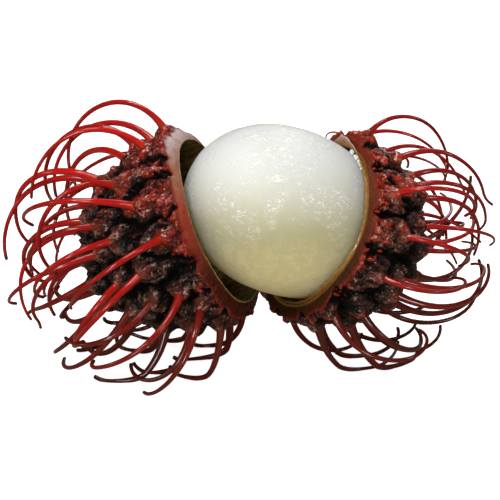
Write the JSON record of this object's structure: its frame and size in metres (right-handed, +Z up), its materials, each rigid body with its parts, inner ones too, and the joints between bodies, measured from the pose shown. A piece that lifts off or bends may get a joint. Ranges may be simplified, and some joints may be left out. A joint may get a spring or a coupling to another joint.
{
  "type": "opened rambutan",
  "caption": "Rambutan opened round its middle: cups of dark red rind with long curling spines stand mouth to mouth, the pale egg-shaped flesh still seated between them.",
  "frame": {"origin": "on the surface that the fruit rests on, under the middle of its bounding box", "axes": "+X from the left cup of rind to the right one, +Y to the back, +Z up"},
  "size_m": [0.089, 0.057, 0.0481],
  "materials": {
    "rind": "rough, wet in places",
    "spines": "glossy",
    "pith": "satin",
    "flesh": "wet, translucent"
  },
  "bodies": {
    "root": {"rind_left": "rind", "rind_right": "rind", "flesh": "flesh"}
  },
  "joints": []
}
